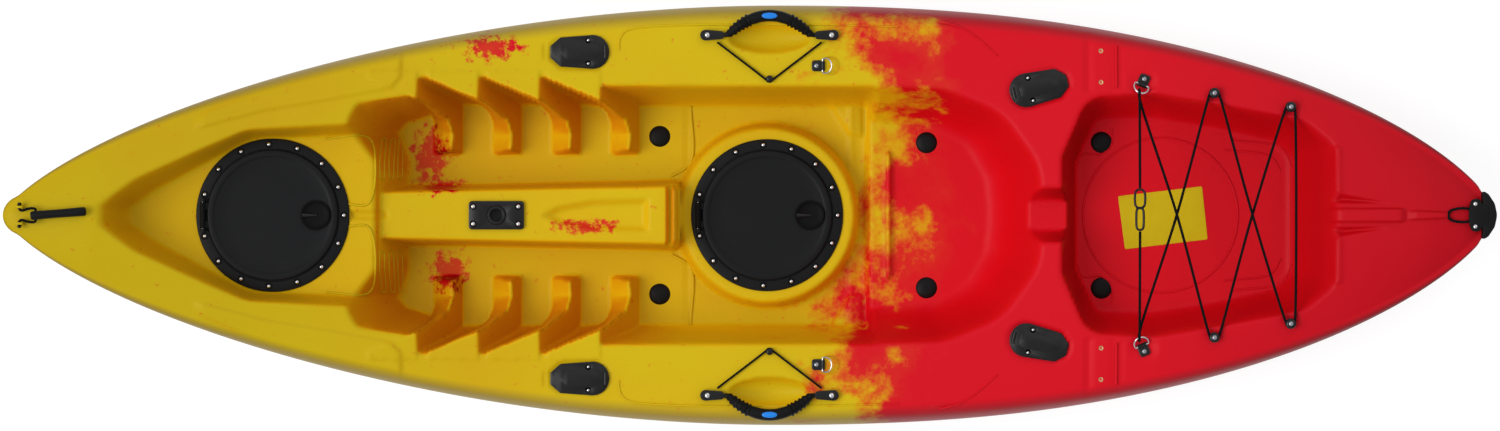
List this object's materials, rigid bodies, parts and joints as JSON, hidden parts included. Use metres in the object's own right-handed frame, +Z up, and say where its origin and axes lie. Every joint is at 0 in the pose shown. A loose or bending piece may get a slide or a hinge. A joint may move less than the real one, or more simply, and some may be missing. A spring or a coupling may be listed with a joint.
{
  "type": "sit-on-top fishing kayak",
  "caption": "Sit-on-top fishing kayak: hollow rotomoulded hull with footwells, seat, tank well, screw-down round hatches, flush rod holders, carry handles, D-rings and bungee.",
  "frame": {"origin": "middle of the hull's length and breadth, at the keel's lowest level", "axes": "+X from the bow to the stern along the hull, +Y to the picture's upper side, +Z up"},
  "size_m": [2.7, 0.771, 0.3749],
  "materials": {
    "hull_plastic": "rotomoulded polyethylene, satin, marbled from yellow at the bow to red at the stern",
    "hatch_plastic": "fine moulded grain",
    "black_plastic": "satin moulded",
    "black_rubber": "soft moulded",
    "black_cord": "braided",
    "stainless_steel": "polished wire",
    "brass": "turned"
  },
  "bodies": {
    "kayak": {"accessory_mount": "black_plastic", "aft_port_bungee_button": "black_plastic", "aft_starboard_bungee_button": "black_plastic", "bungee_clip": "black_plastic", "centre_hatch_pin": "stainless_steel", "centre_hatch_ring": "hatch_plastic", "centre_hatch_seal": "black_rubber", "front_hatch_pin": "stainless_steel", "front_hatch_ring": "hatch_plastic", "front_hatch_seal": "black_rubber", "front_port_ring_pad": "black_plastic", "front_port_rod_holder": "black_plastic", "front_starboard_ring_pad": "black_plastic", "front_starboard_rod_holder": "black_plastic", "hull": "hull_plastic", "inner_port_insert": "brass", "inner_starboard_insert": "brass", "middle_port_bungee_button": "black_plastic", "middle_starboard_bungee_button": "black_plastic", "outer_port_insert": "brass", "outer_starboard_insert": "brass", "port_bow_handle_pad": "black_plastic", "port_paddle_hook": "black_plastic", "port_paddle_keeper": "black_cord", "port_stern_handle_pad": "black_plastic", "rear_port_d_ring": "stainless_steel", "rear_port_ring_pad": "black_plastic", "rear_port_rod_holder": "black_plastic", "rear_starboard_d_ring": "stainless_steel", "rear_starboard_ring_pad": "black_plastic", "rear_starboard_rod_holder": "black_plastic", "starboard_bow_handle_pad": "black_plastic", "starboard_paddle_hook": "black_plastic", "starboard_paddle_keeper": "black_cord", "starboard_stern_handle_pad": "black_plastic", "stern_handle": "black_rubber", "stern_handle_cord": "black_cord", "tank_bungee": "black_cord"},
    "front_lid": {"front_hatch_lid": "hatch_plastic"},
    "front_knob": {"front_hatch_knob": "hatch_plastic"},
    "centre_lid": {"centre_hatch_lid": "hatch_plastic"},
    "centre_knob": {"centre_hatch_knob": "hatch_plastic"},
    "front_port_cap": {"front_port_rod_cap": "black_plastic"},
    "rear_port_cap": {"rear_port_rod_cap": "black_plastic"},
    "port_handle": {"port_carry_handle": "black_rubber"},
    "front_port_ring": {"front_port_d_ring": "stainless_steel"},
    "cockpit_port_plug": {"cockpit_port_scupper_plug": "black_rubber"},
    "seat_port_plug": {"seat_port_scupper_plug": "black_rubber"},
    "tank_port_plug": {"tank_port_scupper_plug": "black_rubber"},
    "front_starboard_cap": {"front_starboard_rod_cap": "black_plastic"},
    "rear_starboard_cap": {"rear_starboard_rod_cap": "black_plastic"},
    "starboard_handle": {"starboard_carry_handle": "black_rubber"},
    "front_starboard_ring": {"front_starboard_d_ring": "stainless_steel"},
    "cockpit_starboard_plug": {"cockpit_starboard_scupper_plug": "black_rubber"},
    "seat_starboard_plug": {"seat_starboard_scupper_plug": "black_rubber"},
    "tank_starboard_plug": {"tank_starboard_scupper_plug": "black_rubber"},
    "bow_toggle": {"bow_toggle_grip": "black_rubber", "bow_toggle_cord": "black_cord"}
  },
  "joints": [
    {"name": "front_lid_hinge", "type": "hinge", "parent": "kayak", "child": "front_lid", "pos_m": [-0.9984, 0, 0.2504], "axis": [0, -1, 0], "range_deg": [0, 100]},
    {"name": "front_knob_turn", "type": "hinge", "parent": "front_lid", "child": "front_knob", "pos_m": [-0.7929, 0, 0.2517], "axis": [0, 0, -1], "range_deg": [0, 90]},
    {"name": "centre_lid_hinge", "type": "hinge", "parent": "kayak", "child": "centre_lid", "pos_m": [-0.0965, 0, 0.1604], "axis": [0, -1, 0], "range_deg": [0, 110]},
    {"name": "centre_knob_turn", "type": "hinge", "parent": "centre_lid", "child": "centre_knob", "pos_m": [0.109, 0, 0.1617], "axis": [0, 0, -1], "range_deg": [0, 90]},
    {"name": "front_port_cap_hinge", "type": "hinge", "parent": "kayak", "child": "front_port_cap", "pos_m": [-0.2635, 0.297, 0.27784], "axis": [0, 1, 0], "range_deg": [0, 150]},
    {"name": "rear_port_cap_hinge", "type": "hinge", "parent": "kayak", "child": "rear_port_cap", "pos_m": [0.47795, 0.22179, 0.28636], "axis": [0.225, -0.9744, 0], "range_deg": [0, 150]},
    {"name": "port_handle_swing", "type": "hinge", "parent": "kayak", "child": "port_handle", "pos_m": [0.0345, 0.3275, 0.2743], "axis": [1, 0, 0], "range_deg": [0, 110]},
    {"name": "front_port_ring_swing", "type": "hinge", "parent": "kayak", "child": "front_port_ring", "pos_m": [0.1315, 0.2718, 0.27183], "axis": [0, -1, 0], "range_deg": [-25, 95]},
    {"name": "cockpit_port_plug_pull", "type": "slide", "parent": "kayak", "child": "cockpit_port_plug", "axis": [0, 0, 1], "range_m": [0, 0.05]},
    {"name": "seat_port_plug_pull", "type": "slide", "parent": "kayak", "child": "seat_port_plug", "axis": [0, 0, 1], "range_m": [0, 0.05]},
    {"name": "tank_port_plug_pull", "type": "slide", "parent": "kayak", "child": "tank_port_plug", "axis": [0, 0, 1], "range_m": [0, 0.05]},
    {"name": "front_starboard_cap_hinge", "type": "hinge", "parent": "kayak", "child": "front_starboard_cap", "pos_m": [-0.2635, -0.297, 0.27784], "axis": [0, 1, 0], "range_deg": [0, 150]},
    {"name": "rear_starboard_cap_hinge", "type": "hinge", "parent": "kayak", "child": "rear_starboard_cap", "pos_m": [0.47795, -0.22179, 0.28636], "axis": [-0.225, -0.9744, 0], "range_deg": [0, 150]},
    {"name": "starboard_handle_swing", "type": "hinge", "parent": "kayak", "child": "starboard_handle", "pos_m": [0.0345, -0.3275, 0.2743], "axis": [-1, 0, 0], "range_deg": [0, 110]},
    {"name": "front_starboard_ring_swing", "type": "hinge", "parent": "kayak", "child": "front_starboard_ring", "pos_m": [0.1315, -0.2718, 0.27183], "axis": [0, -1, 0], "range_deg": [-25, 95]},
    {"name": "cockpit_starboard_plug_pull", "type": "slide", "parent": "kayak", "child": "cockpit_starboard_plug", "axis": [0, 0, 1], "range_m": [0, 0.05]},
    {"name": "seat_starboard_plug_pull", "type": "slide", "parent": "kayak", "child": "seat_starboard_plug", "axis": [0, 0, 1], "range_m": [0, 0.05]},
    {"name": "tank_starboard_plug_pull", "type": "slide", "parent": "kayak", "child": "tank_starboard_plug", "axis": [0, 0, 1], "range_m": [0, 0.05]},
    {"name": "bow_toggle_swing", "type": "hinge", "parent": "kayak", "child": "bow_toggle", "pos_m": [-1.318, 0, 0.36076], "axis": [0, -1, 0], "range_deg": [0, 140]}
  ]
}
